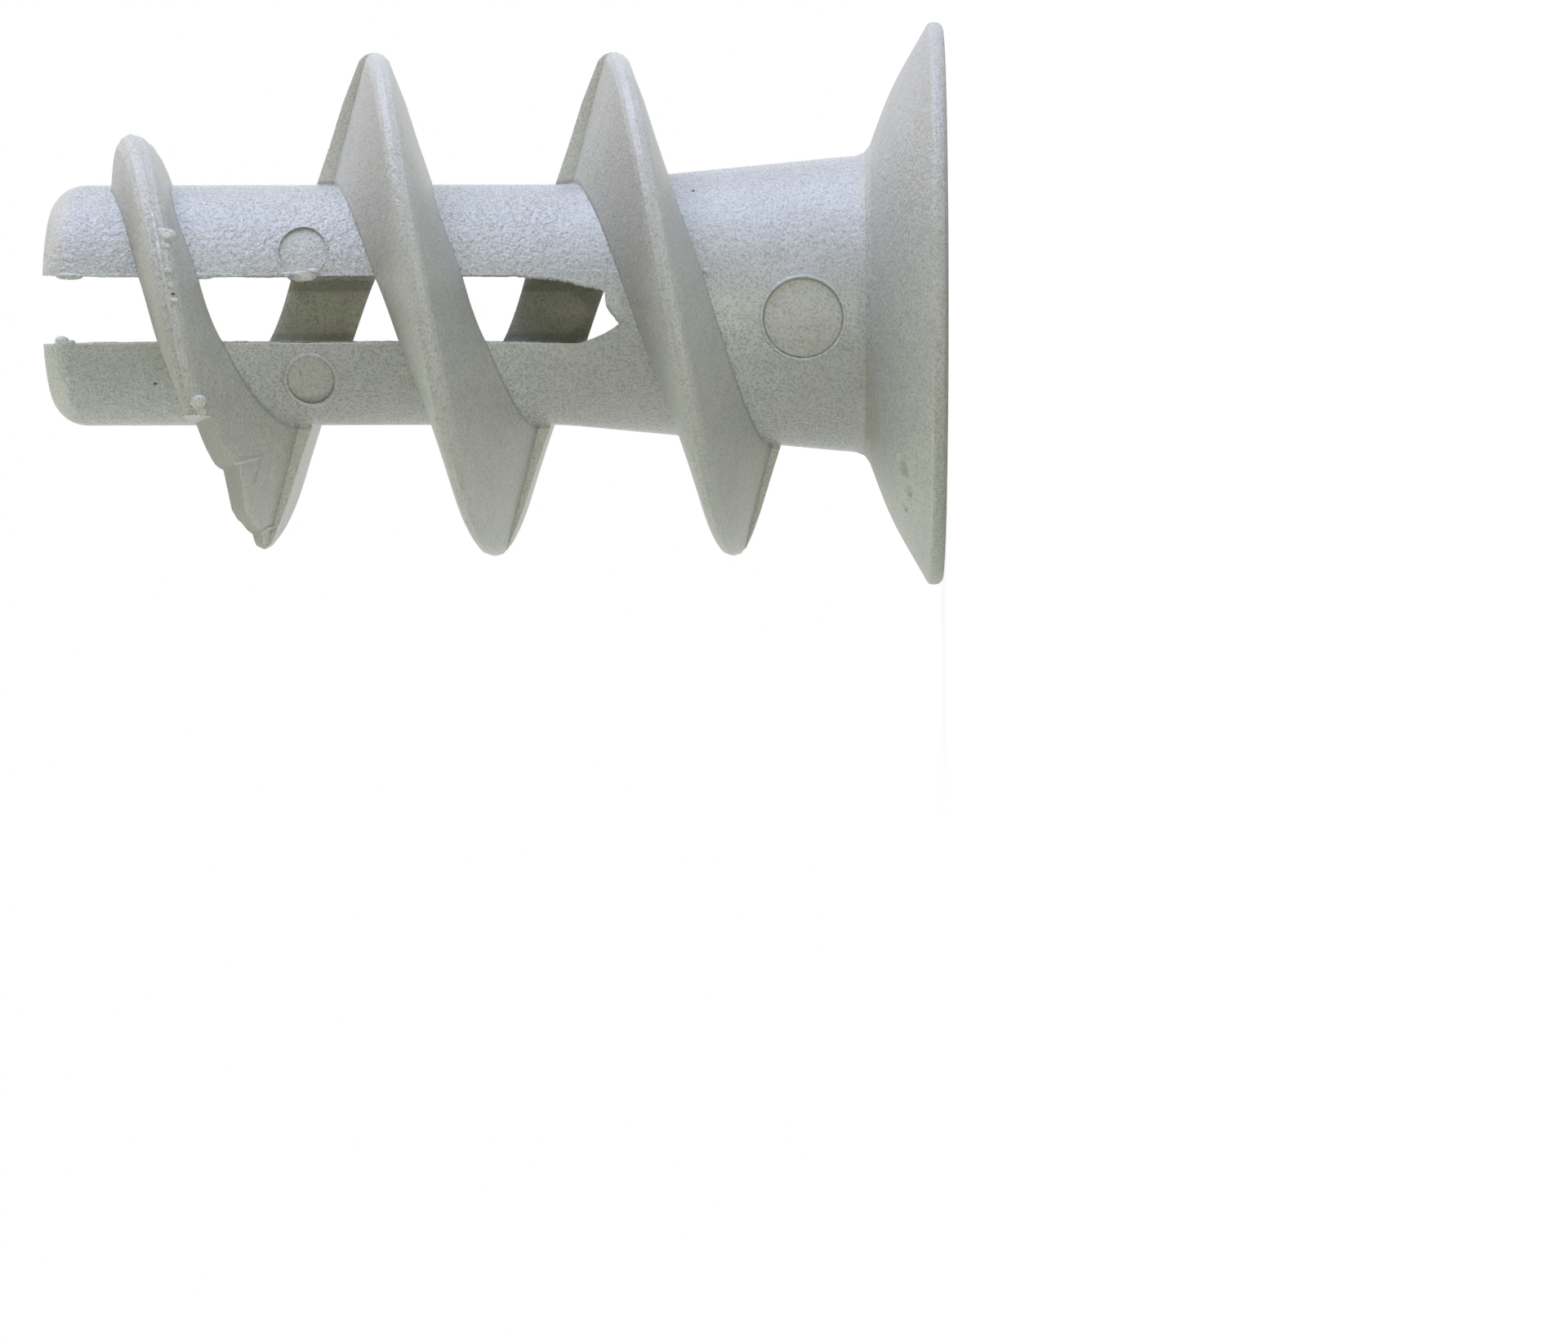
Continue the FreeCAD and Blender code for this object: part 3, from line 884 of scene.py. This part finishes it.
class ANCHOR_OT_pin_burrs(Operator):
    """Low burrs round the marks of the ejector pins"""

    bl_idname = "anchor.pin_burrs"
    bl_label = "Pin mark burrs"

    def execute(self, context):
        size = context.scene.anchor_flash
        solids = [
            burr(mark, size.burr_width * share, size.burr_height * share, seed)
            for seed, (mark, share) in enumerate(zip(PIN_MARKS, BURR_SHARES))
        ]
        # A painted highlight makes the burrs lighter.
        material = nylon("nylon_burr", context.scene.anchor_nylon, BURR_PAINTED_HIGHLIGHT)
        add_piece(context, "pin_burrs", solids, material)
        return {"FINISHED"}


class ANCHOR_OT_crest_marks(Operator):
    """Beads, lips and folds of flash, most of them on the first turn, where the mould was vented"""

    bl_idname = "anchor.crest_marks"
    bl_label = "Crest marks"

    def execute(self, context):
        solids = []
        for low, high, width, height, seed in CREST_LIPS:
            path = first_crest(np.linspace(low, high, CREST_POINTS), CREST_SINK)
            solids.append(lip(path, from_axis(path), width, height, seed, ragged=1.0))
        for line, width, height, seed in FOLDS:
            corners, share = np.linspace(0, 1, len(line)), np.linspace(0, 1, FOLD_POINTS)
            path = np.stack([np.interp(share, corners, side) for side in zip(*line)], -1)
            solids.append(lip(path, FOLD_STANDS, width, height, seed, ragged=0.4))
        for place, along, across, high, seed in BEADS:
            solids.append(lump(place, (along, across, high), from_axis(place), UPWARDS, seed))
        material = nylon("nylon_bead", context.scene.anchor_nylon, BEAD_BRIGHTNESS)
        add_piece(context, "crest_marks", solids, material)
        return {"FINISHED"}


class ANCHOR_OT_specks(Operator):
    """Specks of dark grit in the skin"""

    bl_idname = "anchor.specks"
    bl_label = "Specks"

    def execute(self, context):
        middles = [on_skin(x, z) for x, z in SKIN_SPECKS] + [np.array(CREST_SPECK)]
        solids = [
            lump(middle, SPECK_SIZE, from_axis(middle), UPWARDS, seed, steps=(10, 14))
            for seed, middle in enumerate(middles)
        ]
        add_piece(context, "specks", solids, charred("grit"))
        return {"FINISHED"}


class ANCHOR_OT_stage(Operator):
    """Pale floor, soft lights, even surround and the camera"""

    bl_idname = "anchor.stage"
    bl_label = "Studio"

    def execute(self, context):
        studio = context.scene.anchor_studio
        self.floor(context)
        self.surround(context, studio)
        for name, power, place, size, colour in LAMPS:
            self.light(context, name, power * studio.level, place, size, colour)
        self.camera(context, studio)
        return {"FINISHED"}

    def floor(self, context):
        """A wide flat disc just under the flange, which shows as white where nothing shades it.

        Its rings of points lie at the listed reaches, out along the top and back along the bottom.
        """
        around = once_round(FLOOR_CORNERS)[None, :]
        reach = np.array(FLOOR_RINGS + FLOOR_RINGS[::-1])[:, None]
        depth = np.repeat([FLOOR_TOP, FLOOR_BOTTOM], len(FLOOR_RINGS))[:, None]
        rings = np.stack(np.broadcast_arrays(reach * np.cos(around), reach * np.sin(around), depth), -1)
        floor = bpy.data.objects.new("floor", mesh_of("floor", [closed(rings)], smooth=False))
        context.scene.collection.objects.link(floor)
        material = bpy.data.materials.new("floor_paint")
        nodes = Nodes(material)
        paint = nodes.add("ShaderNodeBsdfDiffuse", {"Color": FLOOR_GREY}).outputs[0]
        away = nodes.length(nodes.add("ShaderNodeTexCoord").outputs["Object"])
        bright = nodes.math("MULTIPLY_ADD", nodes.step(away, *GLOW_BAND), GLOW_REST, GLOW_NEAR)
        glow = nodes.product(nodes.backdrop_rays(), bright)
        glow = nodes.add("ShaderNodeEmission", {"Strength": glow}).outputs[0]
        both = nodes.add("ShaderNodeAddShader", {0: paint, 1: glow}).outputs[0]
        nodes.add("ShaderNodeOutputMaterial", {"Surface": both})
        floor.data.materials.append(material)

    def surround(self, context, studio):
        """An even pale surround that shows as white."""
        world = bpy.data.worlds.new("surround")
        context.scene.world = world
        nodes = Nodes(world)
        even = {"Color": SURROUND_COLOUR, "Strength": studio.surround}
        even = nodes.add("ShaderNodeBackground", even).outputs[0]
        white = nodes.add("ShaderNodeBackground", {"Color": WHITE, "Strength": 1.0}).outputs[0]
        both = nodes.add("ShaderNodeMixShader", {0: nodes.backdrop_rays(), 1: even, 2: white}).outputs[0]
        nodes.add("ShaderNodeOutputWorld", {"Surface": both})

    def light(self, context, name, power, place, size, colour):
        """A square soft light that looks at the middle of the anchor."""
        lamp = bpy.data.lights.new(name, "AREA")
        lamp.energy = power
        lamp.size = size
        lamp.color = colour
        holder = bpy.data.objects.new(name, lamp)
        holder.location = place
        aim = ANCHOR_MIDDLE - Vector(place)
        holder.rotation_euler = aim.to_track_quat("-Z", "Y").to_euler()
        context.scene.collection.objects.link(holder)

    def camera(self, context, studio):
        """The camera lies on its side, so that the standing anchor shows lengthwise, tips to the left.

        It looks along Y from in front; then anchor and camera are turned against each other by the
        turn about the axis and the lean about the anchor's middle, and the picture by the roll.
        """
        turn = Matrix.Rotation(math.radians(CAMERA_TURN), 3, "Z")
        lean = Matrix.Rotation(math.radians(CAMERA_LEAN), 3, "X")
        roll = math.radians(CAMERA_ROLL)
        eye = Vector((CAMERA_SIDEWAYS, -studio.distance, CAMERA_HEIGHT))
        back = (lean @ turn).inverted()
        place = turn.inverted() @ (lean.inverted() @ (eye - ANCHOR_MIDDLE) + ANCHOR_MIDDLE)
        right = back @ Vector((math.sin(roll), 0, -math.cos(roll)))
        up = back @ Vector((math.cos(roll), 0, math.sin(roll)))
        axes = Matrix((right, up, right.cross(up))).transposed()
        lens = bpy.data.cameras.new("camera")
        lens.lens = studio.lens
        lens.sensor_width = SENSOR_WIDTH
        lens.sensor_fit = "HORIZONTAL"
        lens.clip_start, lens.clip_end = CAMERA_REACH
        camera = bpy.data.objects.new("camera", lens)
        context.scene.collection.objects.link(camera)
        camera.matrix_world = Matrix.Translation(place) @ axes.to_4x4()
        context.scene.camera = camera
        context.scene.view_settings.view_transform = "Standard"


class ANCHOR_PT_panel(Panel):
    """Lists the steps and the settings in the sidebar"""

    bl_idname = "ANCHOR_PT_panel"
    bl_label = "Nylon anchor"
    bl_space_type = "VIEW_3D"
    bl_region_type = "UI"
    bl_category = "Anchor"

    def draw(self, context):
        for step in STEPS:
            self.layout.operator(step.bl_idname)
        for group, kind in GROUPS.items():
            box = self.layout.box()
            for name in kind.__annotations__:
                box.prop(getattr(context.scene, group), name)


GROUPS = {"anchor_nylon": AnchorNylon, "anchor_flash": AnchorFlash, "anchor_studio": AnchorStudio}
STEPS = (
    ANCHOR_OT_body, ANCHOR_OT_slot_lips, ANCHOR_OT_slot_end, ANCHOR_OT_pin_burrs, ANCHOR_OT_crest_marks,
    ANCHOR_OT_specks, ANCHOR_OT_stage,
)


def register():
    """Registers the classes and hangs the settings on the scene."""
    for kind in (*GROUPS.values(), *STEPS, ANCHOR_PT_panel):
        bpy.utils.register_class(kind)
    for name, kind in GROUPS.items():
        setattr(bpy.types.Scene, name, PointerProperty(type=kind))


def unregister():
    """Takes the settings and the classes away again."""
    for name in GROUPS:
        delattr(bpy.types.Scene, name)
    for kind in (ANCHOR_PT_panel, *STEPS, *GROUPS.values()):
        bpy.utils.unregister_class(kind)


def main():
    """Makes every piece and the studio."""
    register()
    bpy.ops.anchor.body()
    bpy.ops.anchor.slot_lips()
    bpy.ops.anchor.slot_end()
    bpy.ops.anchor.pin_burrs()
    bpy.ops.anchor.crest_marks()
    bpy.ops.anchor.specks()
    bpy.ops.anchor.stage()


if __name__ == "__main__":
    main()
